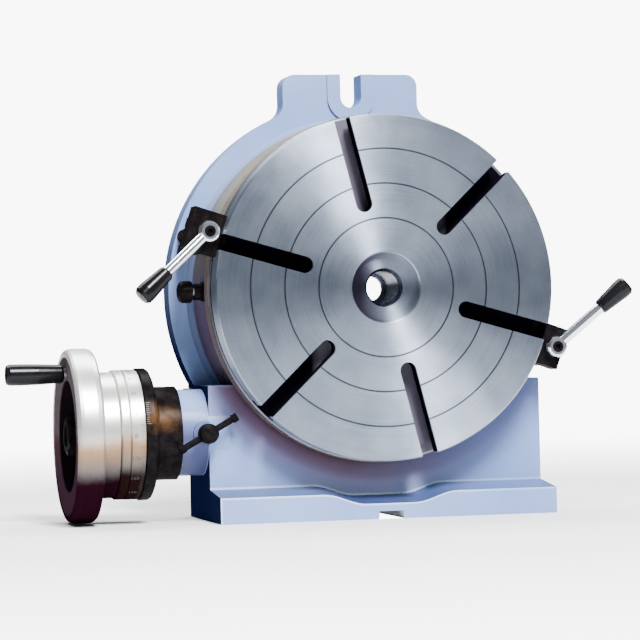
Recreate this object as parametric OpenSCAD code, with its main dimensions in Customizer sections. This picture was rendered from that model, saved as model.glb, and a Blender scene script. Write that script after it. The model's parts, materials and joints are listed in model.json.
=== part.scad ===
// Horizontal and vertical rotary table, standing on its foot with the table face to the front.
// Millimetres, +Z up, +X right, front towards -Y. Z = 0 is the foot, Y = 0 the back mounting face,
// X = 0 the table axis. A "depth" below is a distance in front of the back face, so it lies at -Y.

/* [Table] */
// height of the table axis above the foot
axis_height = 166; // [164:0.5:168]
// diameter of the table face
table_d = 250; // [246:1:250]
// width of the T-slot throats
slot_w = 12; // [10:1:14]
// angle of the first T-slot
slot_turn = -16; // [-20:1:-12]
// radius at which each T-slot ends
slot_inner_r = 56; // [52:1:60]
// diameter of the register recess in the face
register_d = 50; // [44:1:52]

/* [Base] */
// diameter of the round back plate
plate_d = 284; // [280:1:288]
// width of the foot and of the block above it
foot_w = 250; // [246:1:254]
// depth of the foot
foot_depth = 110; // [106:1:112]
// width of the clamping slot in the top lug
lug_slot_w = 16; // [14:1:18]
// height of the top lug above the table axis
lug_rise = 162; // [160:1:166]

/* [Worm drive] */
// diameter of the handwheel
handwheel_d = 126; // [122:1:126]
// diameter of the graduated dial
dial_d = 94; // [90:1:96]
// throw of the crank grip
crank_r = 45; // [44:1:48]

/* [Clamps] */
// reach of each clamp lever from its stud
lever_reach = 70; // [60:1:76]
// direction of the left clamp, seen from the front
clamp_turn = 162; // [160:1:163]

/* [Hidden] */
$fn = 96;
fit_gap = 0.05;     // running clearance, each side
air = 0.3;          // clearance between pieces that move past each other

// worm gearing
gear_module = 1.5;
wheel_teeth = 120;
wheel_pitch_r = gear_module * wheel_teeth / 2;
wheel_tip_r = wheel_pitch_r + gear_module;
wheel_root_r = wheel_pitch_r - 1.3 * gear_module;
worm_pitch_r = 12;
worm_tip_r = worm_pitch_r + gear_module;
worm_root_r = 10.2;
thread_pitch = PI * gear_module;
worm_z = axis_height - wheel_pitch_r - worm_pitch_r;
worm_depth = 51;
throw = 6;                        // eccentricity of the sleeve
sleeve_depth = worm_depth - throw;
sleeve_r = 25;

// depths, from the back face forwards
plate_t = 20;
way_depth = 74;                   // top of the neck
flange_back = 75;
flange_front = 87.5;
groove_front = 92.5;
face_depth = 110;
block_depth = 74;
hub_back = 13.6;
boss_back = 62;                   // seat of the worm wheel
wheel_back = 40;
slot_mouth_depth = 98;            // from here back the T-slots are wide
slot_floor = 90.5;

table_r = table_d / 2;
graduated_r = table_r + 1.5;
groove_r = table_r - 7;
neck_r = 125;
chamber_r = 97;
column_r = 58;
journal_r = 45;
bushing_r = 50;
boss_r = 80;
hollow_r = 30;
back_recess_r = 61;
back_recess = 15;
centre_r = 17;                    // centre sleeve, outside
web_back = 62;                    // back of the web round it
centre_back = 61.5;
centre_lip = 9;
mouth_r = 14;
mouth_deep = 2.6;
register_depth = 6;
taper_r = 11.95;
taper_rate = 1 / 39.84;           // radius lost for each millimetre of depth
ring_screw_pcr = 37.5;
wheel_screw_pcr = 72;
screws_n = 6;

plate_r = plate_d / 2;
block_top = 98;
flange_edge = 18.6;
flange_inner = 23;
dip_half = 50;
dip_flat = 0.35;                  // share of the dip that is level
dip_deep = 7.5;
keyway_w = 18;
keyway_deep = 5.5;
lug_half = 52;
lug_top = axis_height + lug_rise;
lug_corner = 9;
lug_fillet = 12;
slot_deep = 25;
pad_half = 18;
pad_deep = 35;
pad_step = 2;

boss_outer_r = 31.5;
boss_end = -144.5;
index_depth = 66;
index_r = 3;
index_n = 24;
knob_r0 = 134.2;
knob_half = 8;

// along the worm, X positions
wheel_x0 = -226;
wheel_x1 = -206;
web_x0 = -213;
hub_x0 = -217;
dish_r = 39;
grip_x1 = -226.6;
disc_x1 = -192.6;
clamp_ring_x0 = -192.3;
clamp_ring_x1 = -185.7;
dial_x0 = -185.4;
dial_x1 = -175;
vernier_x0 = -174.6;
vernier_x1 = -164.2;
vernier_r = dial_d / 2 + 0.8;
sleeve_flange_x1 = boss_end - air;
sleeve_x1 = 60;
bore_x1 = 62;
hub_sleeve_r = 20;
shaft_r = 9;
tail_r = 8;
worm_bush_r = 14;
worm_clear_r = 15.2;
worm_half = 18;
collar_x = 24;
lock_x = -128;
lock_seat = 78;                   // depth of the pad under the sleeve lock
lock_hub_r = 7.2;
lock_tilt = 29;
bar_r = 2.4;
bar_len = 48;

clamp_pcr = 135.5;
clamp_skew = -1.6;                // the right clamp sits this far past the opposite side
dog_half = 15;
dog_back = 86.5;
dog_front = 103;
dog_outer_r = [149, 143];
heel_r = 130.5;
heel_w = 6;
stud_r = 4;
lever_turn = 60;                  // lever direction against the clamp's own

// ---- placing helpers ----
// an outline drawn as (x, z) becomes a slab from depth d0 to depth d1
module slab(d0, d1) translate([0, -d0, 0]) rotate([90, 0, 0]) linear_extrude(d1 - d0) children();
// local z becomes depth, measured on the table axis
module on_axis(d = 0) translate([0, -d, axis_height]) rotate([90, 0, 0]) children();
// a straight round piece on the table axis
module disc(d0, d1, r) on_axis(d0) cylinder(h = d1 - d0, r = r);
module spun(angle, radius) rotate([0, 0, angle]) translate([radius, 0, 0]) children();
module ring_of(n, radius, start = 0) for (k = [0:n - 1]) spun(start + k * 360 / n, radius) children();
// local z becomes +X, on the worm axis or on the sleeve's own axis
module on_worm(x) translate([x, -worm_depth, worm_z]) rotate([0, 90, 0]) children();
module on_sleeve(x) translate([x, -sleeve_depth, worm_z]) rotate([0, 90, 0]) children();
module rod(x0, x1, r) on_worm(x0) cylinder(h = x1 - x0, r = r);
module sleeve_rod(x0, x1, r) on_sleeve(x0) cylinder(h = x1 - x0, r = r);
// a profile of (radius, x) pairs turned round the worm axis
module turned(profile) on_worm(0) rotate_extrude() polygon(profile);
// a piece on one clamp's stud: local x is outwards, local z is depth
module at_clamp(side) on_axis() rotate([0, 0, clamp_turn + side * (180 + clamp_skew)]) children();
module capsule(length, width) {
    translate([0, -width / 2]) square([length, width]);
    circle(width / 2);
}

// ---- base ----
module lug_fillet_fill(side) {
    x = lug_half + lug_fillet;
    h = sqrt(pow(plate_r + lug_fillet, 2) - x * x);
    tx = x * plate_r / (plate_r + lug_fillet);
    tz = h * plate_r / (plate_r + lug_fillet);
    difference() {
        polygon([[side * (lug_half - 2), h], [side * x, h], [side * tx, tz],
            [side * (lug_half - 2), tz - 6]]);
        translate([side * x, h]) circle(lug_fillet);
    }
}
module plate_outline() {
    translate([0, axis_height]) {
        circle(plate_r, $fn = 180);
        translate([lug_corner - lug_half, 100]) square([2 * (lug_half - lug_corner), lug_rise - 100]);
        translate([-lug_half, 100]) square([2 * lug_half, lug_rise - lug_corner - 100]);
        for (s = [-1, 1]) {
            translate([s * (lug_half - lug_corner), lug_rise - lug_corner]) circle(lug_corner);
            lug_fillet_fill(s);
        }
    }
    translate([-foot_w / 2, 0]) square([foot_w, block_top]);
}
module lug_slot_outline(half, deep) {
    translate([0, lug_top - deep + half]) {
        circle(half);
        translate([-half, 0]) square([2 * half, deep]);
    }
}
module foot_flange() {
    // side outline with the sloping top, then the shallow dip in the middle
    difference() {
        translate([-foot_w / 2, 0, 0]) rotate([90, 0, 90]) linear_extrude(foot_w)
            polygon([[-70, 0], [-foot_depth, 0], [-foot_depth, flange_edge],
                [-block_depth, flange_inner], [-70, flange_inner]]);
        translate([0, -block_depth, flange_inner])
            rotate([atan2(flange_inner - flange_edge, foot_depth - block_depth), 0, 0])
            rotate([90, 0, 0]) linear_extrude(40)
            polygon([for (k = [-16:16]) let (t = min(1, (1 - abs(k) / 16) / (1 - dip_flat)))
                [k * dip_half / 16, -dip_deep * (1 - cos(180 * t)) / 2],
                [dip_half, 6], [-dip_half, 6]]);
    }
}
module base_casting() color([0.62, 0.68, 0.77]) difference() {
    union() {
        slab(0, plate_t) plate_outline();
        slab(0, block_depth) translate([-foot_w / 2, 0]) square([foot_w, block_top]);
        foot_flange();
        disc(plate_t - 1, way_depth, neck_r);
        on_axis(plate_t) cylinder(h = 4, r1 = neck_r + 4, r2 = neck_r);
        slab(plate_t - 1, plate_t + pad_step) intersection() {
            lug_slot_outline(pad_half, pad_deep);
            translate([-40, 0]) square([80, lug_top]);
        }
        sleeve_rod(boss_end, -110, boss_outer_r);
        translate([lock_x, -lock_seat, worm_z]) rotate([-90, 0, 0]) cylinder(h = 18, r = 9);
    }
    // worm wheel chamber round the bearing column
    difference() {
        disc(plate_t + 2, way_depth + 1, chamber_r);
        disc(plate_t, 60, column_r);
    }
    disc(-1, 61, bushing_r);
    disc(-1, back_recess, back_recess_r);
    // worm sleeve bore
    sleeve_rod(boss_end - 1, bore_x1, sleeve_r + fit_gap);
    // lock screw hole and its plug
    translate([lock_x, -lock_seat - 1, worm_z]) rotate([-90, 0, 0]) cylinder(h = 14, r = 4);
    // lug slot and foot keyway
    slab(-1, plate_t + pad_step + 1) lug_slot_outline(lug_slot_w / 2, slot_deep);
    slab(-1, foot_depth + 1) polygon([[-keyway_w / 2 - 2, -1], [-keyway_w / 2 - 1, 0],
        [-keyway_w / 2, 1], [-keyway_w / 2, keyway_deep], [keyway_w / 2, keyway_deep],
        [keyway_w / 2, 1], [keyway_w / 2 + 1, 0], [keyway_w / 2 + 2, -1]]);
    // clamp stud holes
    for (side = [0, 1]) at_clamp(side) translate([clamp_pcr, 0, 4]) cylinder(h = 20, r = stud_r);
    // index plunger hole
    on_axis(index_depth) rotate([0, -90, 0]) translate([0, 0, 90]) cylinder(h = 40, r = 4.5);
    // oiler holes in the top of the boss and of the neck
    translate([-134, -sleeve_depth, worm_z + 20]) cylinder(h = 20, r = 3);
    translate([0, -50, axis_height + 90]) cylinder(h = 40, r = 3);
}
module spindle_bushing() color([0.75, 0.58, 0.3]) difference() {
    disc(back_recess, 60, bushing_r);
    disc(back_recess - 1, 61, journal_r + fit_gap);
}
module thrust_washer() color([0.75, 0.58, 0.3]) difference() {
    disc(back_recess - 1.1, back_recess, 57);
    disc(0, back_recess + 1, journal_r + 1);
}
module lock_plug() color([0.8, 0.65, 0.35])
    translate([lock_x, -lock_seat + 4, worm_z]) rotate([-90, 0, 0])
        cylinder(h = lock_seat - 4 - sleeve_depth - sleeve_r - air, r = 4);
module clamp_dog(side) color([0.09, 0.09, 0.1]) at_clamp(side) difference() {
    union() {
        // head, beside the rim
        translate([110, -dog_half, dog_back])
            cube([dog_outer_r[side] - 110, 2 * dog_half, dog_front - dog_back]);
        // two heels that stand on the back plate
        for (s = [-1, 1]) translate([heel_r, s * 10.8 - heel_w / 2, plate_t])
            cube([7.5, heel_w, dog_back - plate_t + 1]);
    }
    // the head follows the rim and the neck, and its nose enters the rim groove
    translate([0, 0, groove_front - 1]) cylinder(h = 20, r = table_r + 0.8, $fn = 180);
    translate([0, 0, dog_back - 1]) cylinder(h = flange_front + 0.6 - dog_back + 1, r = graduated_r + 0.8,
        $fn = 180);
    translate([0, 0, dog_back]) cylinder(h = 40, r = groove_r + 0.8, $fn = 180);
    translate([clamp_pcr, 0, 0]) cylinder(h = 120, r = stud_r + 0.2);
}
module clamp_dog_left() clamp_dog(0);
module clamp_dog_right() clamp_dog(1);
module clamp_studs() color([0.15, 0.15, 0.16]) for (side = [0, 1]) at_clamp(side)
    translate([clamp_pcr, 0, 5]) cylinder(h = dog_front + air, r = stud_r - 0.02);
// one coil section, swept up and round the stud
module dog_springs() color([0.5, 0.5, 0.52]) for (side = [0, 1]) at_clamp(side)
    translate([clamp_pcr, 0, plate_t + 0.1])
        linear_extrude(dog_back - plate_t - 0.2, twist = -2880, slices = 112, $fn = 8)
        polygon([for (k = [-2:2]) [5.9 * cos(k * 23), 5.9 * sin(k * 23)],
            for (k = [-2:2]) [4.6 * cos(k * -23), 4.6 * sin(k * -23)]]);
module index_bushing() color([0.2, 0.2, 0.22]) on_axis(index_depth) rotate([0, -90, 0]) difference() {
    union() {
        translate([0, 0, chamber_r + 0.5]) cylinder(h = neck_r - chamber_r, r = 4.5);
        translate([0, 0, neck_r + 0.02]) cylinder(h = 1.9, r = 7);
        translate([0, 0, neck_r + 1]) cylinder(h = 6.4, r = 6);
    }
    translate([0, 0, 80]) cylinder(h = 60, r = index_r + fit_gap);
}
module oiler_cups() color([0.78, 0.66, 0.35]) {
    translate([-134, -sleeve_depth, worm_z + sleeve_r + 1]) oiler(boss_outer_r - sleeve_r - 1);
    translate([0, -50, axis_height + chamber_r + 8]) oiler(neck_r - chamber_r - 8);
}
module oiler(depth_in) difference() {
    union() {
        cylinder(h = depth_in, r = 3);
        translate([0, 0, depth_in]) cylinder(h = 0.8, r = 3.9);
    }
    translate([0, 0, -1]) cylinder(h = depth_in + 3, r = 1.2);
}

// ---- table ----
module t_slot() {
    throat_c = slot_inner_r + slot_w / 2;
    translate([throat_c, 0, slot_mouth_depth - 1]) linear_extrude(20) capsule(90, slot_w);
    translate([throat_c, 0, slot_floor]) linear_extrude(slot_mouth_depth - slot_floor)
        capsule(90, slot_w + 9);
}
module ring_groove(r) translate([r, face_depth]) polygon([[-0.7, 0.1], [-0.35, -0.6], [0.35, -0.6], [0.7, 0.1]]);
module table_plate() color([0.6, 0.62, 0.66]) on_axis() difference() {
    rotate_extrude($fn = 180) difference() {
        polygon([[centre_r, web_back], [hollow_r, web_back], [hollow_r, hub_back], [journal_r, hub_back],
            [journal_r, boss_back], [boss_r, boss_back], [boss_r, flange_back],
            [graduated_r, flange_back], [graduated_r, flange_front], [groove_r, flange_front],
            [groove_r, groove_front], [table_r, groove_front], [table_r, face_depth - 0.8],
            [table_r - 0.8, face_depth], [register_d / 2 + 1, face_depth],
            [register_d / 2, face_depth - 1], [register_d / 2, face_depth - register_depth],
            [mouth_r, face_depth - register_depth],
            [mouth_r, face_depth - register_depth - mouth_deep],
            [centre_r, face_depth - register_depth - mouth_deep]]);
        for (r = [50, 75, 100]) ring_groove(r);
    }
    for (k = [0:5]) rotate([0, 0, slot_turn + 60 * k]) t_slot();
    ring_of(screws_n, ring_screw_pcr) translate([0, 0, hub_back - 1]) cylinder(h = 17, r = 2.5);
    ring_of(screws_n, wheel_screw_pcr, 7.5) translate([0, 0, boss_back - 1]) cylinder(h = 15, r = 3);
    for (k = [0:index_n - 1]) rotate([0, 0, k * 360 / index_n]) translate([boss_r - 9, 0, index_depth])
        rotate([0, 90, 0]) cylinder(h = 12, r = index_r + 0.2);
}
module centre_sleeve() color([0.55, 0.56, 0.58]) on_axis() {
    top = face_depth - register_depth - mouth_deep;
    rotate_extrude() polygon([[centre_r, centre_back], [centre_r, top], [mouth_r - 0.3, top],
        [taper_r, top - 2], [taper_r - (top - 6 - centre_back) * taper_rate, centre_back + 4],
        [centre_lip, centre_back + 4], [centre_lip, centre_back]]);
}
module worm_wheel() color([0.72, 0.55, 0.28]) on_axis() difference() {
    tooth = 360 / wheel_teeth;
    translate([0, 0, wheel_back]) linear_extrude(boss_back - wheel_back)
        polygon([for (k = [0:wheel_teeth - 1], c = [[-0.34, 1], [-0.165, 0], [0.165, 0], [0.34, 1]])
            let (a = (k + c[0]) * tooth - 90, r = c[1] == 1 ? wheel_tip_r : wheel_root_r)
                [r * cos(a), r * sin(a)]]);
    translate([0, 0, wheel_back - 1]) cylinder(h = 30, r = 62);
    ring_of(screws_n, wheel_screw_pcr, 7.5) {
        translate([0, 0, wheel_back - 1]) cylinder(h = 30, r = 3);
        translate([0, 0, wheel_back - 1]) cylinder(h = 7.5, r = 5.5);
    }
}
module wheel_screws() color([0.16, 0.16, 0.17]) on_axis(wheel_back + 0.4)
    ring_of(screws_n, wheel_screw_pcr, 7.5) difference() {
        union() {
            cylinder(h = 6.1, r = 5);
            cylinder(h = 32, r = 2.98);
        }
        translate([0, 0, -1]) cylinder(h = 4, r = 2.8, $fn = 6);
    }
module retaining_ring() color([0.5, 0.51, 0.53]) on_axis() difference() {
    translate([0, 0, hub_back - 6.6]) cylinder(h = 6.6, r = 56);
    cylinder(h = 20, r = hollow_r);
    ring_of(screws_n, ring_screw_pcr) {
        cylinder(h = 20, r = 2.5);
        translate([0, 0, hub_back - 7]) cylinder(h = 5.4, r = 4.6);
    }
}
module ring_screws() color([0.16, 0.16, 0.17]) on_axis(hub_back - 6.4)
    ring_of(screws_n, ring_screw_pcr) difference() {
        union() {
            cylinder(h = 4.8, r = 4.3);
            cylinder(h = 20, r = 2.48);
        }
        translate([0, 0, -1]) cylinder(h = 3.5, r = 2.3, $fn = 6);
    }

// ---- sleeve that carries the worm ----
module eccentric_sleeve() color([0.13, 0.13, 0.14]) difference() {
    union() {
        sleeve_rod(vernier_x1, sleeve_flange_x1, 34);
        on_sleeve(vernier_x1) cylinder(h = 3, r1 = 36, r2 = 34);
        sleeve_rod(sleeve_flange_x1 - 1, sleeve_x1, sleeve_r);
    }
    // bore for the bushings, wider round the worm
    rod(vernier_x1 - 1, sleeve_x1 + 1, worm_bush_r);
    rod(-26, 26, worm_clear_r);
    // open above the worm, so that the wheel reaches it
    translate([-53, -sleeve_depth - 30, worm_z - 6]) cube([106, 60, 40]);
    // groove round the oiler feed
    difference() {
        sleeve_rod(-136, -132, sleeve_r + 1);
        sleeve_rod(-137, -131, sleeve_r - 1);
    }
    on_worm(vernier_x1 - 1) ring_of(3, 19, 30) cylinder(h = 10, r = 1.5);
}
module vernier_ring() color([0.1, 0.1, 0.11]) difference() {
    turned([[17, vernier_x0], [vernier_r - 0.6, vernier_x0], [vernier_r, vernier_x0 + 0.6],
        [vernier_r, vernier_x0 + 6.4], [vernier_r - 1, vernier_x0 + 8], [vernier_r - 3.6, vernier_x0 + 9.2],
        [37, vernier_x1], [17, vernier_x1]]);
    on_worm(vernier_x0 - 1) ring_of(3, 19, 30) {
        cylinder(h = 20, r = 1.5);
        cylinder(h = 4.4, r = 1.9);
    }
    rod(vernier_x0 - 1, vernier_x0 + 1.4, hub_sleeve_r + 0.6);
}
module vernier_screws() color([0.4, 0.4, 0.42]) on_worm(vernier_x0 + 1.5)
    ring_of(3, 19, 30) {
        cylinder(h = 16, r = 1.48);
        cylinder(h = 1.85, r = 1.85);
    }
module worm_bushings() color([0.75, 0.58, 0.3]) difference() {
    union() {
        rod(-90, -26, worm_bush_r);
        rod(-162, -130, worm_bush_r);
        rod(26, 50, worm_bush_r);
    }
    rod(-163, 60, shaft_r + fit_gap);
}
module thrust_rings() color([0.75, 0.58, 0.3]) for (x = [-25.9, 24.4]) difference() {
    rod(x, x + 1.5, 13.2);
    rod(x - 1, x + 3, shaft_r + 0.02);
}

// ---- worm ----
module worm_thread() {
    // one start: the section's bump runs round the shaft once for each thread pitch
    turns = 2 * worm_half / thread_pitch;
    on_worm(-worm_half) rotate([0, 0, 180 + worm_half / thread_pitch * 360])
        linear_extrude(2 * worm_half, twist = turns * 360, slices = round(turns * 20), $fn = 24)
        polygon([for (k = [0:23]) let (a = k * 15 - 180,
            h = max(0, min(1, (92 - abs(a)) / 62)),
            r = worm_root_r + (worm_tip_r - worm_root_r) * h) [r * cos(a), r * sin(a)]]);
}
module worm_shaft() color([0.58, 0.59, 0.62]) difference() {
    union() {
        worm_thread();
        rod(-collar_x, -worm_half + 0.5, 11.5);
        rod(worm_half - 0.5, collar_x, 11.5);
        rod(dial_x1 + 0.4, 50, shaft_r);
        rod(-223, dial_x1 + 1, tail_r);
        rod(49, 61, 7);
    }
    translate([-205, -worm_depth - 2.5, worm_z + 5]) cube([18, 5, 6]);
}
module worm_lock_nuts() color([0.2, 0.2, 0.22]) for (x = [50.4, 55.3]) difference() {
    rod(x, x + 4.5, 12);
    rod(x - 1, x + 6, 7.02);
    for (a = [0:90:270]) on_worm(x - 1) rotate([0, 0, a]) translate([10, -2, 0]) cube([4, 4, 8]);
}
module handwheel() color([0.72, 0.72, 0.7]) difference() {
    wr = handwheel_d / 2;
    union() {
        turned([[0, web_x0], [dish_r, web_x0], [dish_r + 1, wheel_x0 + 2.4], [dish_r + 2, wheel_x0 + 1.6],
            [wr - 5.5, wheel_x0 + 0.4], [wr - 3.6, wheel_x0], [wr - 1.6, wheel_x0 + 0.9],
            [wr - 0.4, wheel_x0 + 2.6], [wr, wheel_x0 + 5], [wr, wheel_x1 - 5], [wr - 0.6, wheel_x1 - 2.2],
            [wr - 2.2, wheel_x1 - 0.6], [wr - 4.4, wheel_x1], [0, wheel_x1]]);
        turned([[0, wheel_x1 - 1], [dial_d / 2 - 1.5, wheel_x1 - 1], [dial_d / 2 - 1.5, disc_x1 - 0.6],
            [dial_d / 2 - 2.1, disc_x1], [0, disc_x1]]);
        rod(disc_x1 - 1, dial_x1 - 0.3, hub_sleeve_r);
        turned([[0, hub_x0], [15, hub_x0], [18, web_x0 + 1], [0, web_x0 + 1]]);
    }
    rod(wheel_x0 - 5, -150, tail_r);
    translate([-206, -worm_depth - 2.5, worm_z]) cube([20, 5, 10.5]);
    translate([0, 0, crank_r]) rod(-230, wheel_x1 + 1, 4);
}
module wheel_key() color([0.45, 0.45, 0.47])
    translate([-205, -worm_depth - 2.5, worm_z + 5]) cube([18, 5, 5.4]);
module wheel_washer() color([0.6, 0.6, 0.62]) difference() {
    rod(hub_x0 - 1.6, hub_x0, 12);
    rod(hub_x0 - 3, hub_x0 + 1, tail_r);
}
module wheel_nut() color([0.6, 0.6, 0.62]) difference() {
    intersection() {
        on_worm(hub_x0 - 8.6) cylinder(h = 7, r = 14, $fn = 6);
        turned([[0, hub_x0 - 8.6], [11.6, hub_x0 - 8.6], [14, hub_x0 - 7.2], [14, hub_x0 - 1.6], [0, hub_x0 - 1.6]]);
    }
    rod(-230, -210, tail_r);
}
module crank_stud() color([0.55, 0.55, 0.57]) translate([0, 0, crank_r]) {
    rod(-263, wheel_x1 - 1, 3.95);
    rod(-266, -263, 5.9);
}
module dial_clamp_ring() color([0.68, 0.68, 0.66]) difference() {
    turned([[0, clamp_ring_x0], [dial_d / 2 - 0.8, clamp_ring_x0], [dial_d / 2 - 0.1, clamp_ring_x0 + 0.8],
        [dial_d / 2 - 0.1, clamp_ring_x1 - 0.8], [dial_d / 2 - 0.8, clamp_ring_x1], [0, clamp_ring_x1]]);
    rod(-200, -180, hub_sleeve_r);
}
module micrometer_dial() color([0.78, 0.78, 0.75]) difference() {
    turned([[0, dial_x0], [dial_d / 2 - 0.6, dial_x0], [dial_d / 2, dial_x0 + 0.6],
        [dial_d / 2, dial_x1 - 0.6], [dial_d / 2 - 0.6, dial_x1], [0, dial_x1]]);
    rod(-190, -170, hub_sleeve_r + fit_gap);
}
module crank_grip() color([0.05, 0.05, 0.055]) translate([0, 0, crank_r]) difference() {
    turned([[0, -268.5], [5.2, -268.5], [6.9, -267.6], [7.7, -265.4], [7.8, -258], [7.5, -245],
        [6.9, -233], [6.6, -228], [5.6, grip_x1], [0, grip_x1]]);
    rod(-264, grip_x1 + 1, 4);
    rod(-270, -263, 6.2);
}

// ---- lock of the worm sleeve ----
module lock_frame() translate([lock_x, -lock_seat, worm_z]) rotate([90, 0, 0]) children();
module lock_screw() color([0.08, 0.08, 0.085]) lock_frame() difference() {
    union() {
        translate([0, 0, -3.6]) cylinder(h = 8, r = 3.9);
        rotate_extrude() polygon([[0, 1], [5.2, 1], [5.2, 3], [6.6, 4], [lock_hub_r, 6],
            [lock_hub_r, 12], [6.4, 14.4], [4, 16], [0, 16.3]]);
    }
    rotate([0, 0, lock_tilt]) translate([-20, 0, 9]) rotate([0, 90, 0]) cylinder(h = 40, r = bar_r + fit_gap);
}
module lock_bar() color([0.1, 0.1, 0.105]) lock_frame() rotate([0, 0, lock_tilt])
    translate([0, 0, 9]) rotate([0, 90, 0]) {
        translate([0, 0, -bar_len / 2]) cylinder(h = bar_len, r = bar_r);
        for (s = [-1, 1]) translate([0, 0, s * (bar_len / 2 - 2) - 2]) cylinder(h = 4, r = bar_r + 0.7);
    }

// ---- clamp levers ----
module lever_frame(side) at_clamp(side) translate([clamp_pcr, 0, dog_front + air])
    rotate([0, 0, lever_turn]) children();
module clamp_lever(side) color([0.8, 0.81, 0.83]) lever_frame(side) difference() {
    union() {
        rotate_extrude() polygon([[0, 0], [7, 0], [7.8, 1], [7.8, 6.6], [7.2, 8.6], [5.8, 9.8], [0, 9.8]]);
        translate([0, 0, 4.6]) rotate([0, 82, 0]) cylinder(h = lever_reach - 18, r = 3.9);
    }
    translate([0, 0, -1]) cylinder(h = 12, r = stud_r + fit_gap);
}
module clamp_grip(side) color([0.05, 0.05, 0.055]) lever_frame(side)
    translate([0, 0, 4.6]) rotate([0, 82, 0]) difference() {
        rotate_extrude() polygon([[0, lever_reach - 27], [4.8, lever_reach - 27], [5.6, lever_reach - 25.6],
            [7.3, lever_reach - 7], [7.2, lever_reach - 2.6], [5.6, lever_reach - 0.4], [0, lever_reach]]);
        cylinder(h = lever_reach - 17.5, r = 3.9);
    }
module lever_screw(side) color([0.07, 0.07, 0.075]) lever_frame(side) difference() {
    translate([0, 0, 5.6]) cylinder(h = 3.9, r = stud_r + fit_gap);
    translate([0, 0, 7.2]) cylinder(h = 5, r = 2.2, $fn = 6);
}
module clamp_lever_left() clamp_lever(0);
module clamp_grip_left() clamp_grip(0);
module lever_screw_left() lever_screw(0);
module clamp_lever_right() clamp_lever(1);
module clamp_grip_right() clamp_grip(1);
module lever_screw_right() lever_screw(1);

// ---- index plunger, shown drawn out ----
module index_frame() on_axis(index_depth) rotate([0, -90, 0]) children();
module index_pin() color([0.5, 0.5, 0.52]) index_frame() {
    translate([0, 0, boss_r + 1.2]) cylinder(h = knob_r0 + 9 - boss_r - 1.2, r = index_r);
}
module index_knob() color([0.12, 0.12, 0.13]) index_frame() difference() {
    rotate_extrude() polygon([[0, knob_r0], [knob_half - 0.8, knob_r0], [knob_half, knob_r0 + 1],
        [knob_half, knob_r0 + 7], [knob_half - 1.2, knob_r0 + 9], [knob_half - 3.6, knob_r0 + 10], [0, knob_r0 + 10.4]]);
    // hollow that slides over the nose of the bushing
    translate([0, 0, knob_r0 - 1]) cylinder(h = 9, r = knob_half - 1.4);
    translate([0, 0, knob_r0 + 7]) cylinder(h = 2, r = index_r);
}

base_casting();
spindle_bushing();
thrust_washer();
lock_plug();
clamp_dog_left();
clamp_dog_right();
clamp_studs();
dog_springs();
index_bushing();
oiler_cups();
table_plate();
centre_sleeve();
worm_wheel();
wheel_screws();
retaining_ring();
ring_screws();
eccentric_sleeve();
vernier_ring();
vernier_screws();
worm_bushings();
thrust_rings();
worm_shaft();
worm_lock_nuts();
handwheel();
wheel_key();
wheel_washer();
wheel_nut();
crank_stud();
dial_clamp_ring();
micrometer_dial();
crank_grip();
lock_screw();
lock_bar();
clamp_lever_left();
clamp_grip_left();
lever_screw_left();
clamp_lever_right();
clamp_grip_right();
lever_screw_right();
index_pin();
index_knob();
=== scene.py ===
import bpy, bmesh, json, math
from mathutils import Vector, Matrix


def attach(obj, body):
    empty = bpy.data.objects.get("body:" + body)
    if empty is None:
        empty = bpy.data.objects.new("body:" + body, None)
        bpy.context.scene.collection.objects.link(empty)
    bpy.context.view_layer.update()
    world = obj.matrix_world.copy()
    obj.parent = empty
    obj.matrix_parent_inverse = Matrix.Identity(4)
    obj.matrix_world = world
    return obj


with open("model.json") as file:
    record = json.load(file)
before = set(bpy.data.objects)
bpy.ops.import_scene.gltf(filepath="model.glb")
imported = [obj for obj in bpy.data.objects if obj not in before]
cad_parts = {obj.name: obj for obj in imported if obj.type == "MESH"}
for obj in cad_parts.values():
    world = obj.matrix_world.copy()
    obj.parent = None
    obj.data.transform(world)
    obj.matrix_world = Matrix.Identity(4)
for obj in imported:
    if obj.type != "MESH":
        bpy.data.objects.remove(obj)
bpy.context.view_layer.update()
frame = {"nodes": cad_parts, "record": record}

# Sizes of the parts, in metres. The table turns about Y, the worm about X; the front is -Y.
AXIS_Z = 0.166                      # table axis above the foot
WORM_Y, WORM_Z = -0.051, 0.064      # worm axis
FACE_Y = -0.110                     # table face, and the front of the foot
BLOCK_Y = -0.074                    # front of the block and of the neck
PLATE_Y = -0.020                    # front of the round back plate
TABLE_R = 0.125                     # table, and the neck behind it
SLOT_R0, SLOT_R1 = 0.030, 0.034     # the slots and grooves lie outside this
REGISTER_R = 0.025                  # recess in the middle of the face
GRADUATED_R, GRADUATED_Y = 0.1265, -0.0875      # graduated flange: radius, front
BOSS_X = -0.1255                    # where the worm boss leaves the block
FOOT_HALF = 0.125                   # half the width of the foot
FLANGE_Z, FOOT_EDGE_Z = 0.023, 0.0186           # top of the foot at the block, and at its front
DIP_HALF, DIP_LEVEL, DIP_DEEP = 0.050, 0.0175, 0.0075       # dip in the foot: half widths, depth
KEYWAY_HALF, KEYWAY_TOP = 0.009, 0.0055
WHEEL_FACE_X = -0.211               # behind this lie the hub and the rest of the drive
DISH_R, WHEEL_RING_R = 0.040, 0.0565
DIAL_R, DIAL_END_X = 0.047, -0.1757
VERNIER_R, VERNIER_START_X = 0.0478, -0.1745

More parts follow.
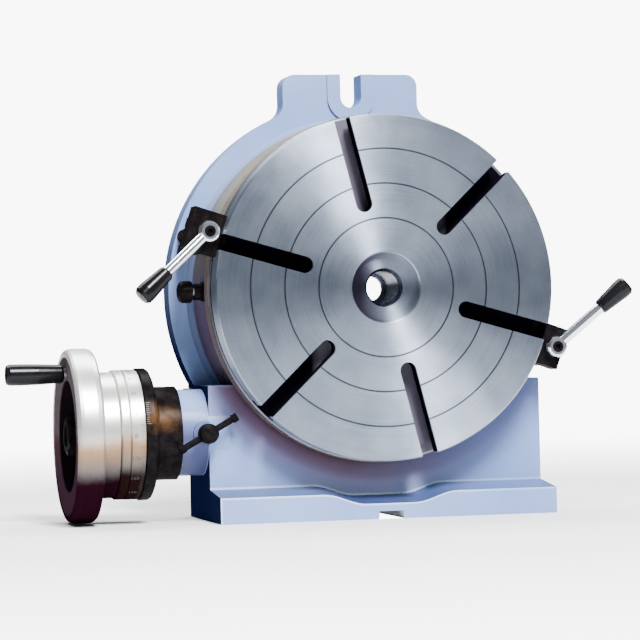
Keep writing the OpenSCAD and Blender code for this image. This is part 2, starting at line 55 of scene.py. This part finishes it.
# Printed marks, in metres
OFF_SURFACE = 0.00004               # they stand this far off the surface
TICK_10, TICK_5, TICK_1 = 0.0046, 0.0034, 0.0022            # lengths on the dial
DIAL_TICK_HALF, VERNIER_TICK_HALF, RIM_TICK_HALF = 0.00013, 0.00008, 0.00011     # half widths
DIAL_TEXT, RIM_TEXT = 0.0042, 0.0030                        # heights of the numbers
DIAL_TEXT_X, RIM_TEXT_Y = -0.1822, -0.0785                  # middles of the rows of numbers
RIM_TICKS = ((360, -0.0840), (72, -0.0825), (36, -0.0813))  # lines round the flange, where they end

# Base colours, linear
BLUE_DEEP, BLUE_LIGHT, BLUE_GREY = (0.205, 0.305, 0.60), (0.265, 0.375, 0.66), (0.27, 0.33, 0.50)
RIGHT_SHADE_BLUE, EDGE_HIGHLIGHT, KEYWAY_LIT_WHITE, CHIP = (0.105, 0.185, 0.42), (0.70, 0.80, 0.95), (0.85, 0.87, 0.90), (0.22, 0.22, 0.24)
LOW_SHADE_BLUE, NECK_REFLECTION_OLIVE, NECK_SHADE_PLUM = (0.030, 0.050, 0.125), (0.20, 0.165, 0.085), (0.050, 0.020, 0.036)
TABLE_SHADOW_PURPLE, TABLE_SHADOW_PURPLE_DARK, BOSS_SHADE_INDIGO = (0.150, 0.105, 0.200), (0.040, 0.013, 0.026), (0.045, 0.042, 0.115)
STEP_SHADE_BLUE, LEFT_SHADE_BLUE = (0.030, 0.048, 0.145), (0.003, 0.004, 0.030)
IRON_DARK, IRON_LIGHT = (0.240, 0.283, 0.365), (0.315, 0.362, 0.447)
IRON_GRAIN, IRON_MARKS = (0.15, 0.165, 0.205), (0.46, 0.50, 0.56)
SLOT_SHADE_BLACK, SLOT_FLOOR_LIT = (0.0025, 0.002, 0.005), (0.125, 0.112, 0.155)
RECESS_SHADE_DARK, GROOVE_SHADE_DARK, LINE_DARK = (0.022, 0.012, 0.034), (0.035, 0.035, 0.055), (0.03, 0.03, 0.03)
BAND_BROWN, BAND_REFLECTION_OLIVE = (0.085, 0.045, 0.035), (0.22, 0.18, 0.10)
SATIN, REFLECTION_TAN, SLEEVE_GLINT_BROWN = (0.84, 0.83, 0.80), (0.52, 0.28, 0.12), (0.120, 0.060, 0.024)


# ---------- material helpers ----------
class Mat:
    """A node material with a principled shader, in object coordinates (metres)."""

    def __init__(self, name):
        self.m = bpy.data.materials.new(name)
        self.m.use_nodes = True
        self.t = self.m.node_tree
        self.t.nodes.clear()
        out = self.t.nodes.new("ShaderNodeOutputMaterial")
        self.b = self.t.nodes.new("ShaderNodeBsdfPrincipled")
        self.t.links.new(self.b.outputs[0], out.inputs[0])
        self.co = self.add("ShaderNodeTexCoord").outputs["Object"]

    def add(self, kind, ins=None, **props):
        n = self.t.nodes.new(kind)
        for k, v in props.items():
            setattr(n, k, v)
        for k, v in (ins or {}).items():
            if isinstance(v, bpy.types.NodeSocket):
                self.t.links.new(v, n.inputs[k])
            else:
                n.inputs[k].default_value = v
        return n

    def math(self, op, a, b=0.0, clamp=False):
        return self.add("ShaderNodeMath", {0: a, 1: b}, operation=op, use_clamp=clamp).outputs[0]

    def plus(self, a, b):
        return self.math("ADD", a, b)

    def minus(self, a, b):
        return self.math("SUBTRACT", a, b)

    def times(self, a, *others):
        for b in others:
            a = self.math("MULTIPLY", a, b)
        return a

    def rest(self, a):
        """1 - a, for a mask."""
        return self.math("SUBTRACT", 1.0, a, clamp=True)

    def size(self, a):
        return self.math("ABSOLUTE", a)

    def hypot(self, a, b):
        return self.math("SQRT", self.plus(self.times(a, a), self.times(b, b)))

    def noise(self, scale, detail=2.0, rough=0.5, vec=None):
        return self.add("ShaderNodeTexNoise", {"Vector": vec or self.co, "Scale": scale, "Detail": detail,
                                               "Roughness": rough}).outputs["Fac"]

    def ramp(self, value, at0, at1):
        """A mask: 0 at at0, 1 at at1 and level beyond both. Either may be the larger."""
        return self.add("ShaderNodeMapRange", {"Value": value, "From Min": at0, "From Max": at1}).outputs[0]

    def mix(self, mask, a, b):
        """Colour a where the mask is 0, b where it is 1."""
        n = self.add("ShaderNodeMix", data_type="RGBA")
        for i, v in ((0, mask), (6, a), (7, b)):
            if isinstance(v, bpy.types.NodeSocket):
                self.t.links.new(v, n.inputs[i])
            else:
                n.inputs[i].default_value = v if i == 0 else (*v, 1.0)
        return n.outputs[2]

    def parts(self, vec=None):
        """The x, y and z of a vector, or of the point."""
        n = self.add("ShaderNodeSeparateXYZ", {0: vec or self.co})
        return n.outputs[0], n.outputs[1], n.outputs[2]

    def facing(self):
        """The x, y and z of the surface normal."""
        return self.parts(self.add("ShaderNodeNewGeometry").outputs["Normal"])

    def bump(self, height, strength, distance, under=None):
        ins = {"Height": height, "Strength": strength, "Distance": distance}
        if under:
            ins["Normal"] = under
        return self.add("ShaderNodeBump", ins).outputs[0]

    def linked(self, name):
        """What is already linked to an input of the shader."""
        return self.b.inputs[name].links[0].from_socket

    def set(self, **kw):
        for k, v in kw.items():
            k = k.replace("_", " ")
            if isinstance(v, bpy.types.NodeSocket):
                self.t.links.new(v, self.b.inputs[k])
            elif isinstance(v, tuple) and len(v) == 3:
                self.b.inputs[k].default_value = (*v, 1.0)
            else:
                self.b.inputs[k].default_value = v


def polar(m, axis):
    """(radius, turns, distance along) about the table axis or the worm axis."""
    x, y, z = m.parts()
    if axis == "table":
        u, v, w = x, m.minus(z, AXIS_Z), y
    else:
        u, v, w = m.minus(y, WORM_Y), m.minus(z, WORM_Z), x
    turns = m.math("DIVIDE", m.math("ARCTAN2", v, u), 2 * math.pi)
    return m.hypot(u, v), turns, w


def turning(m, axis, scale):
    """Noise drawn out along the turning direction, as tool marks, with the polar coordinates."""
    r, a, w = polar(m, axis)
    along = m.add("ShaderNodeCombineXYZ", {0: r, 1: m.times(a, 0.004), 2: w}).outputs[0]
    return m.noise(scale, 3.0, 0.6, along), r, a, w


# ---------- materials ----------
def foot_highlight_lines(m, x, y, z, front, up):
    """Mask of the painted highlight lines along the foot: where it meets the block, and its top and left front edges.
    """
    sink = m.ramp(m.size(x), DIP_HALF, DIP_LEVEL)
    sink = m.times(m.minus(1.0, m.math("COSINE", m.times(sink, math.pi))), DIP_DEEP / 2)
    forward = m.ramp(front, -0.5, -0.9)
    seam = m.minus(z, m.minus(FLANGE_Z + 0.0005, sink))
    seam = m.times(m.ramp(m.size(seam), 0.0012, 0.0004), m.ramp(y, BLOCK_Y + 0.004, BLOCK_Y + 0.001),
                   m.ramp(y, BLOCK_Y - 0.006, BLOCK_Y - 0.003), m.ramp(up, 0.6, 0.3), forward)
    edge = m.ramp(m.minus(z, m.minus(FOOT_EDGE_Z, sink)), -0.0016, -0.0006)
    edge = m.math("MAXIMUM", edge, m.ramp(x, -FOOT_HALF + 0.0014, -FOOT_HALF + 0.0006))
    edge = m.times(edge, m.ramp(y, FACE_Y + 0.0008, FACE_Y + 0.0004), forward)
    return m.math("MAXIMUM", edge, seam)


def paint():
    """Light blue enamel with chips, painted shade, painted shadows and painted edge highlights."""
    m = Mat("cast_paint")
    big, mid, fine, peel = m.noise(9, 3), m.noise(70, 4, 0.6), m.noise(420, 4, 0.65), m.noise(1500, 2)
    x, y, z = m.parts()
    side, front, up = m.facing()
    c = m.mix(m.ramp(big, 0.35, 0.65), BLUE_DEEP, BLUE_LIGHT)
    c = m.mix(m.times(m.ramp(mid, 0.52, 0.72), 0.35), c, BLUE_GREY)
    # painted shade low on the plate; on the neck behind the table, a painted olive reflection above fading to painted
    # plum shade below
    low = m.times(m.ramp(z, 0.25, 0.08), m.ramp(y, PLATE_Y - 0.0035, PLATE_Y + 0.0005))
    c = m.mix(m.times(low, 0.48), c, LOW_SHADE_BLUE)
    neck = m.times(m.ramp(polar(m, "table")[0], TABLE_R + 0.0055, TABLE_R + 0.0005),
                   m.ramp(y, PLATE_Y + 0.002, PLATE_Y - 0.010), m.ramp(y, BLOCK_Y, BLOCK_Y + 0.0005))
    neck_light_and_shade = m.mix(m.ramp(m.plus(z, m.times(mid, 0.03)), 0.235, 0.175), NECK_REFLECTION_OLIVE, NECK_SHADE_PLUM)
    c = m.mix(m.times(neck, 0.95), c, neck_light_and_shade)
    # painted shadow of the table on the block, purple fading into blue
    reach = m.hypot(m.minus(x, 0.003), m.minus(z, AXIS_Z))
    under = m.times(m.ramp(z, 0.102, 0.096), m.ramp(y, BLOCK_Y + 0.004, BLOCK_Y + 0.001))
    c = m.mix(m.times(under, m.ramp(reach, 0.158, 0.136)), c, TABLE_SHADOW_PURPLE)
    c = m.mix(m.times(under, m.ramp(reach, 0.142, 0.127)), c, TABLE_SHADOW_PURPLE_DARK)
    # painted shade on the lower half of the worm boss
    boss = m.times(m.ramp(x, BOSS_X + 0.0003, BOSS_X - 0.0003), m.ramp(z, 0.084, 0.062))
    c = m.mix(m.times(boss, 0.82), c, BOSS_SHADE_INDIGO)
    # painted shade on the top of the foot, darkest in the dip
    step = m.times(m.ramp(up, 0.5, 0.9), m.ramp(y, BLOCK_Y + 0.0005, BLOCK_Y - 0.0015), m.ramp(z, 0.07, 0.06))
    dip = m.ramp(m.size(m.minus(x, 0.002)), 0.060, 0.035)
    c = m.mix(m.times(step, m.plus(0.66, m.times(dip, 0.3))), c, STEP_SHADE_BLUE)
    # painted shade on faces that look to the left; these also lose their coat
    end = m.times(m.ramp(side, -0.45, -0.85), m.ramp(z, 0.33, 0.12), m.rest(neck))
    c = m.mix(m.times(end, 0.985), c, LEFT_SHADE_BLUE)
    # painted highlight lines along the foot's edges and where it meets the block
    c = m.mix(m.times(foot_highlight_lines(m, x, y, z, front, up), 0.75), c, EDGE_HIGHLIGHT)
    # inside the keyway, painted near white as if lit
    key = m.times(m.ramp(m.size(x), KEYWAY_HALF + 0.0006, KEYWAY_HALF + 0.0002),
                  m.ramp(z, KEYWAY_TOP + 0.0003, KEYWAY_TOP + 0.0001), m.ramp(y, FACE_Y + 0.0001, FACE_Y + 0.0004))
    c = m.mix(key, c, KEYWAY_LIT_WHITE)
    # painted shade, darker towards the right of the front
    right = m.times(m.ramp(x, -0.02, 0.09), m.ramp(y, -0.20, -0.07))
    c = m.mix(m.times(right, 0.58), c, RIGHT_SHADE_BLUE)
    chips = m.times(m.ramp(fine, 0.66, 0.70), m.ramp(mid, 0.55, 0.62))
    c = m.mix(m.times(chips, 0.8), c, CHIP)
    n = m.bump(m.noise(55, 3), 0.35, 0.0012)
    n = m.bump(fine, 0.16, 0.0003, n)
    n = m.bump(peel, 0.08, 0.0001, n)
    m.set(Base_Color=c, Roughness=m.plus(0.30, m.times(mid, 0.16)), Normal=n, Specular_IOR_Level=0.0,
          Coat_Weight=m.times(m.rest(end), 0.4), Coat_Roughness=0.2)
    return m.m


def ground_iron():
    """Turned iron of the table: bright face; painted shade in the slots, the recess and the grooves; graduated flange
    with a painted reflection.
    """
    m = Mat("ground_iron")
    marks, r, a, y = turning(m, "table", 1400)
    coarse = m.noise(38, 3)
    grain = m.noise(900, 3, 0.7)
    x, _, z = m.parts()
    c = m.mix(m.ramp(coarse, 0.35, 0.65), IRON_DARK, IRON_LIGHT)
    c = m.mix(m.times(m.ramp(grain, 0.50, 0.75), 0.45), c, IRON_GRAIN)
    c = m.mix(m.times(m.ramp(marks, 0.4, 0.7), 0.25), c, IRON_MARKS)
    # painted shade in the slots, near black; the floors of the two upright slots painted lighter, as lit
    inside = m.times(m.ramp(y, FACE_Y + 0.0008, FACE_Y + 0.0030), m.ramp(r, TABLE_R - 0.0002, TABLE_R - 0.0006),
                     m.ramp(r, SLOT_R0, SLOT_R1))
    lit_floors = m.times(m.ramp(m.facing()[1], -0.7, -0.95), m.ramp(m.size(x), 0.052, 0.046))
    c = m.mix(inside, c, m.mix(lit_floors, SLOT_SHADE_BLACK, SLOT_FLOOR_LIT))
    # painted shade in the recess in the middle, darker on its left
    recess = m.times(m.ramp(y, FACE_Y + 0.0004, FACE_Y + 0.0012), m.ramp(r, REGISTER_R + 0.0012, REGISTER_R + 0.0005))
    c = m.mix(m.times(recess, m.plus(0.25, m.times(m.ramp(x, 0.012, -0.018), 0.68))), c, RECESS_SHADE_DARK)
    # painted shade in the grooves of the face
    groove = m.times(m.ramp(y, FACE_Y + 0.00005, FACE_Y + 0.0004), m.ramp(r, TABLE_R - 0.0015, TABLE_R - 0.0020),
                     m.ramp(r, 0.045, 0.046), m.rest(inside))
    c = m.mix(m.times(groove, 0.8), c, GROOVE_SHADE_DARK)
    # graduated flange: warmer brown, with a painted olive reflection towards the top, and a line at each degree,
    # longer at 5 and 10
    band = m.times(m.ramp(r, GRADUATED_R - 0.0009, GRADUATED_R - 0.0007), m.ramp(y, GRADUATED_Y - 0.0003, GRADUATED_Y))
    c = m.mix(m.times(band, 0.85), c, m.mix(m.ramp(z, 0.16, 0.25), BAND_BROWN, BAND_REFLECTION_OLIVE))
    for lines, end_y in RIM_TICKS:
        f = m.math("FRACT", m.plus(m.times(a, float(lines)), 100.0))
        off = m.size(m.minus(f, 0.5))
        half = 0.5 - RIM_TICK_HALF / (2 * math.pi * GRADUATED_R / lines)
        line = m.times(m.ramp(off, half - 0.01, half), m.ramp(y, end_y, end_y - 0.0001), band, 0.9)
        c = m.mix(line, c, LINE_DARK)
    tangent = m.add("ShaderNodeTangent", direction_type="RADIAL", axis="Y").outputs[0]
    n = m.bump(marks, 0.10, 0.00006)
    n = m.bump(grain, 0.05, 0.00005, n)
    m.set(Base_Color=c, Roughness=m.plus(0.31, m.times(coarse, 0.12)), Normal=n,
          Metallic=m.rest(m.plus(inside, m.times(band, 0.85))), Specular_IOR_Level=0.0,
          Anisotropic=0.85, Anisotropic_Rotation=0.25, Tangent=tangent)
    return m.m


def metal(name, colour, rough, axis=None, dark=(0.2, 0.2, 0.21), wear=0.35, metallic=1.0, bump=0.08, aniso=0.0,
          low_shade=None):
    """Bare metal. The last argument paints shade low on the part, with a painted tan reflection where that shade thins
    out: z where it starts, z where it is full, colour.
    """
    m = Mat(name)
    marks = turning(m, axis, 1100)[0] if axis else m.noise(1000, 3, 0.6)
    blot = m.noise(60, 4, 0.6)
    c = m.mix(m.times(m.ramp(blot, 0.42, 0.75), wear), colour, dark)
    c = m.mix(m.times(m.ramp(marks, 0.45, 0.7), 0.2), c, tuple(min(1, v * 1.25) for v in colour))
    # painted shade low on the part, with a painted tan reflection at its edge
    if low_shade:
        start, full, shade_colour = low_shade
        z = m.plus(m.parts()[2], m.times(m.minus(blot, 0.5), 0.012))
        below = m.rest(m.math("POWER", m.ramp(z, full, start), 1.5))
        tan_reflection = m.times(below, m.rest(below), 4.0)            # painted tan reflection where the painted shade thins out
        c = m.mix(m.times(m.math("POWER", tan_reflection, 1.8), 0.85), c, REFLECTION_TAN)
        c = m.mix(below, c, shade_colour)
        metallic = m.times(m.rest(below), metallic)
    m.set(Base_Color=c, Metallic=metallic, Normal=m.bump(marks, bump, 0.00005),
          Roughness=m.plus(rough, m.times(blot, 0.12)), Anisotropic=aniso, Specular_IOR_Level=0.0)
    return m


def black_oxide():
    """Blackened steel, with a painted warm reflection on the front of the sleeve."""
    m = Mat("black_oxide")
    n1, n2 = m.noise(160, 4, 0.6), m.noise(900, 2)
    c = m.mix(m.ramp(n1, 0.4, 0.7), (0.004, 0.0035, 0.004), (0.012, 0.009, 0.010))
    c = m.mix(m.times(m.ramp(n2, 0.68, 0.74), 0.5), c, (0.05, 0.032, 0.036))
    x, y, z = m.parts()
    # painted warm reflection on the front of the sleeve
    sleeve_glint = m.times(m.ramp(m.size(m.plus(x, 0.160)), 0.017, 0.004), m.ramp(m.size(m.minus(z, 0.078)), 0.014, 0.002),
                    m.ramp(y, -0.070, -0.080), m.ramp(n1, 0.2, 0.6))
    c = m.mix(sleeve_glint, c, SLEEVE_GLINT_BROWN)
    m.set(Base_Color=c, Metallic=0.08, Roughness=m.plus(0.28, m.times(n1, 0.2)),
          Normal=m.bump(n2, 0.12, 0.0001), Coat_Weight=0.05, Coat_Roughness=0.22, Specular_IOR_Level=0.0)
    return m.m


def black_plastic():
    """Glossy grips and knobs."""
    m = Mat("black_plastic")
    n1, n2 = m.noise(45, 3), m.noise(1400, 2)
    c = m.mix(m.ramp(n1, 0.3, 0.7), (0.003, 0.003, 0.004), (0.008, 0.008, 0.010))
    m.set(Base_Color=c, Roughness=m.plus(0.14, m.times(n1, 0.16)),
          Normal=m.bump(n2, 0.05, 0.0001), Coat_Weight=0.10, Coat_Roughness=0.12, Specular_IOR_Level=0.1)
    return m.m


def wheel_metal():
    """Satin turned metal; the recess between rim and hub is near black, with a dark brown ring of painted shade round
    it.
    """
    m = metal("wheel_metal", SATIN, 0.27, "worm", (0.60, 0.58, 0.55), 0.35, 0.8, aniso=0.4,
              low_shade=(0.067, 0.030, (0.012, 0.002, 0.006)))
    r, _, x = polar(m, "worm")
    before = m.ramp(x, WHEEL_FACE_X, WHEEL_FACE_X - 0.0005)
    dish = m.times(m.ramp(r, DISH_R + 0.001, DISH_R), before)
    ring = m.times(m.ramp(r, WHEEL_RING_R + 0.001, WHEEL_RING_R), before)
    # painted shade on the ring round the recess
    c = m.mix(m.times(ring, 0.95), m.linked("Base Color"), (0.030, 0.014, 0.024))
    c = m.mix(dish, c, m.mix(m.noise(120, 4), (0.003, 0.002, 0.003), (0.010, 0.006, 0.009)))
    m.set(Base_Color=c, Metallic=m.times(m.linked("Metallic"), m.rest(ring)),
          Roughness=m.plus(m.linked("Roughness"), m.times(dish, 0.12)))
    return m.m


def ink(name, colour):
    """Matt ink of the printed marks."""
    m = Mat(name)
    m.set(Base_Color=m.mix(m.noise(700, 2), colour, tuple(v * 1.6 + 0.01 for v in colour)), Roughness=0.5)
    return m.m


MATS = {                            # by material slot
    "cast_paint": paint(),
    "ground_iron": ground_iron(),
    "steel": metal("steel", (0.55, 0.55, 0.57), 0.24).m,
    "bronze": metal("bronze", (0.62, 0.42, 0.18), 0.26, dark=(0.3, 0.18, 0.08)).m,
    "brass": metal("brass", (0.70, 0.54, 0.24), 0.2, dark=(0.35, 0.25, 0.1)).m,
    "black_oxide": black_oxide(),
    "satin_metal": metal("dial_metal", SATIN, 0.25, "worm", (0.60, 0.58, 0.54), 0.35, 0.8, aniso=0.4,
                         low_shade=(0.069, 0.034, (0.012, 0.005, 0.005))).m,
    "chrome": metal("chrome", (0.88, 0.89, 0.91), 0.05, dark=(0.7, 0.7, 0.72), wear=0.25, bump=0.01).m,
    "black_plastic": black_plastic(),
}
OWN = {                             # pieces that differ from their slot
    "handwheel": wheel_metal(),
    "dog_springs": MATS["black_oxide"],
    "centre_sleeve": metal("bore_steel", (0.11, 0.12, 0.17), 0.2, dark=(0.03, 0.025, 0.05), wear=0.5).m,
}
BLACK_INK, GREY_INK = ink("black_ink", (0.015, 0.015, 0.016)), ink("white_ink", (0.22, 0.21, 0.19))

slot_of = {s["node"]: s.get("material_slot") for s in frame["record"]["subparts"]}
for name, obj in frame["nodes"].items():
    mat = OWN.get(name) or MATS[slot_of[name]]
    if not obj.material_slots:
        obj.data.materials.append(mat)
    for s in obj.material_slots:
        s.material = mat
    for p in obj.data.polygons:
        p.use_smooth = True


# ---------- printed marks ----------
def wrap_text(words, size, place):
    """Vertices and faces of a short number, centred, each point put through place(u, v)."""
    cu = bpy.data.curves.new("t", "FONT")
    cu.body, cu.size, cu.align_x, cu.align_y, cu.resolution_u = words, size, "CENTER", "CENTER", 2
    ob = bpy.data.objects.new("t", cu)
    bpy.context.scene.collection.objects.link(ob)
    me = bpy.data.meshes.new_from_object(ob.evaluated_get(bpy.context.evaluated_depsgraph_get()))
    out = ([place(v.co.x, v.co.y) for v in me.vertices], [tuple(p.vertices) for p in me.polygons])
    bpy.data.objects.remove(ob)
    bpy.data.meshes.remove(me)
    bpy.data.curves.remove(cu)
    return out


def build(name, pieces, mat, body):
    """One object from lists of vertices and faces, riding on a body."""
    vs, fs = [], []
    for v, f in pieces:
        o = len(vs)
        vs += v
        fs += [tuple(i + o for i in q) for q in f]
    me = bpy.data.meshes.new(name)
    me.from_pydata([tuple(v) for v in vs], [], fs)
    me.materials.append(mat)
    ob = bpy.data.objects.new(name, me)
    bpy.context.scene.collection.objects.link(ob)
    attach(ob, body)


def on_drum(r, x, ang):
    """A point of a drum about the worm axis: ang 0 is the front, positive upwards."""
    return (x, WORM_Y - r * math.cos(ang), WORM_Z + r * math.sin(ang))


def drum_line(r, x0, x1, ang, half):
    """A line along a drum, from x0 to x1, of width 2 * half."""
    corners = ((x0, -1), (x1, -1), (x1, 1), (x0, 1))
    return [on_drum(r, x, ang + s * half / r) for x, s in corners], [(0, 1, 2, 3)]


def on_rim(r, y, ang):
    """A point of the graduated flange."""
    return (r * math.cos(ang), y, AXIS_Z + r * math.sin(ang))


ink_r = DIAL_R + OFF_SURFACE
marks = []
for k in range(180):
    length = TICK_10 if k % 10 == 0 else TICK_5 if k % 5 == 0 else TICK_1
    marks.append(drum_line(ink_r, DIAL_END_X - length, DIAL_END_X, math.radians(2 * k), DIAL_TICK_HALF))
for k in range(18):
    a0 = math.radians(20 * k)
    marks.append(wrap_text(str(k * 10), DIAL_TEXT,
                           lambda u, v, a0=a0: on_drum(ink_r, DIAL_TEXT_X + u, a0 + v / ink_r)))
build("dial_numbers", marks, BLACK_INK, "dial")

marks = []
for k in range(-5, 6):
    length = TICK_5 if k % 5 == 0 else TICK_1
    marks.append(drum_line(VERNIER_R + OFF_SURFACE, VERNIER_START_X, VERNIER_START_X + length,
                           math.radians(20 + 1.9 * k), VERNIER_TICK_HALF))
build("vernier_lines", marks, GREY_INK, "sleeve")

rim_r = GRADUATED_R + OFF_SURFACE
marks = []
for k in range(36):
    a0 = math.radians(10 * k)
    marks.append(wrap_text(str((k * 10 - 90) % 360), RIM_TEXT,
                           lambda u, v, a0=a0: on_rim(rim_r, RIM_TEXT_Y - v, a0 + u / rim_r)))
build("table_numbers", marks, BLACK_INK, "table")


# ---------- floor ----------
FLOOR_R, FADE_R0, FADE_R1 = 2.3, 0.45, 1.5       # radius; solid to R0, clear from R1
FLOOR_Z = -0.0001                                # just under the foot


def floor_paint():
    """White, running out into the white room, and open under the keyway as in the photograph."""
    m = Mat("floor")
    x, y, _ = m.parts()
    away = m.add("ShaderNodeVectorMath", {0: m.co}, operation="LENGTH").outputs["Value"]
    gap = m.times(m.ramp(m.size(x), KEYWAY_HALF + 0.0005, KEYWAY_HALF - 0.0005),
                  m.ramp(y, FACE_Y - 0.0015, FACE_Y - 0.0005), m.ramp(y, 0.002, 0.0))
    m.set(Base_Color=m.mix(m.noise(3, 2), (0.93, 0.93, 0.94), (0.96, 0.96, 0.96)), Roughness=0.8,
          Specular_IOR_Level=0.0, Alpha=m.times(m.ramp(away, FADE_R1, FADE_R0), m.rest(gap)))
    return m.m


bm = bmesh.new()
bmesh.ops.create_circle(bm, cap_ends=True, segments=96, radius=FLOOR_R)
me = bpy.data.meshes.new("floor")
bm.to_mesh(me)
bm.free()
me.transform(Matrix.Translation((0, 0, FLOOR_Z)))
me.materials.append(floor_paint())
floor = bpy.data.objects.new("floor", me)
bpy.context.scene.collection.objects.link(floor)

# ---------- light ----------
GLOW_FROM, GLOW_LEAST, GLOW_MOST = (0.55, -0.45, 0.70), 0.16, 0.50
ROOM_STRENGTH = 9.0
world = bpy.data.worlds.new("studio")
bpy.context.scene.world = world
world.use_nodes = True
wn, wl = world.node_tree.nodes, world.node_tree.links
toward = wn.new("ShaderNodeVectorMath")          # dim glow, strongest from the front, above and right
toward.operation = "DOT_PRODUCT"
toward.inputs[1].default_value = GLOW_FROM
wl.new(wn.new("ShaderNodeTexCoord").outputs["Generated"], toward.inputs[0])
glow = wn.new("ShaderNodeMapRange")
glow.interpolation_type = "SMOOTHSTEP"
for k, v in (("From Min", 0.0), ("From Max", 1.0), ("To Min", GLOW_LEAST), ("To Max", GLOW_MOST)):
    glow.inputs[k].default_value = v
wl.new(toward.outputs["Value"], glow.inputs["Value"])
bg = wn["Background"]
bg.inputs["Color"].default_value = (0.86, 0.92, 1.0, 1)
wl.new(glow.outputs[0], bg.inputs["Strength"])
room = wn.new("ShaderNodeBackground")            # what shows behind the object: a white room
room.inputs["Color"].default_value = (1, 1, 1, 1)
room.inputs["Strength"].default_value = ROOM_STRENGTH
seen = wn.new("ShaderNodeMixShader")
wl.new(wn.new("ShaderNodeLightPath").outputs["Is Camera Ray"], seen.inputs[0])
wl.new(bg.outputs[0], seen.inputs[1])
wl.new(room.outputs[0], seen.inputs[2])
wl.new(seen.outputs[0], wn["World Output"].inputs[0])


def light(name, pos, target, size, power):
    """A white area light of size (width, height) in metres and power in watts, aimed at target."""
    d = bpy.data.lights.new(name, "AREA")
    d.shape, d.size, d.size_y, d.energy = "RECTANGLE", size[0], size[1], power
    o = bpy.data.objects.new(name, d)
    o.location = pos
    o.rotation_euler = (Vector(target) - Vector(pos)).to_track_quat("-Z", "Y").to_euler()
    bpy.context.scene.collection.objects.link(o)


light("key", (0.02, -1.50, 1.65), (0, -0.05, 0.17), (0.40, 0.80), 140)
light("overhead", (0, 0.9, 2.0), (0, 0.15, 0), (2.6, 1.0), 100)

# ---------- camera, as fitted to the photograph ----------
IMAGE_PX, FOCAL_PX, CENTRE_PX = 640, 2750.6, 289.8
cam = bpy.data.objects.new("camera", bpy.data.cameras.new("camera"))
bpy.context.scene.collection.objects.link(cam)
bpy.context.scene.camera = cam
cam.data.sensor_width = 36
cam.data.lens = 36 * FOCAL_PX / IMAGE_PX
cam.data.shift_x = (IMAGE_PX / 2 - CENTRE_PX) / IMAGE_PX
cam.data.clip_end = 30
cam.location = (-0.52483, -2.01570, 0.12578)
yaw, pitch, roll = math.radians(13.37), math.radians(0.53), math.radians(-1.30)
ahead = Vector((math.sin(yaw) * math.cos(pitch), math.cos(yaw) * math.cos(pitch), math.sin(pitch)))
level = Vector((math.cos(yaw), -math.sin(yaw), 0))
above = level.cross(ahead)
right = level * math.cos(roll) + above * math.sin(roll)
above = above * math.cos(roll) - level * math.sin(roll)
cam.rotation_mode = "QUATERNION"
cam.rotation_quaternion = Matrix((right, above, -ahead)).transposed().to_quaternion()
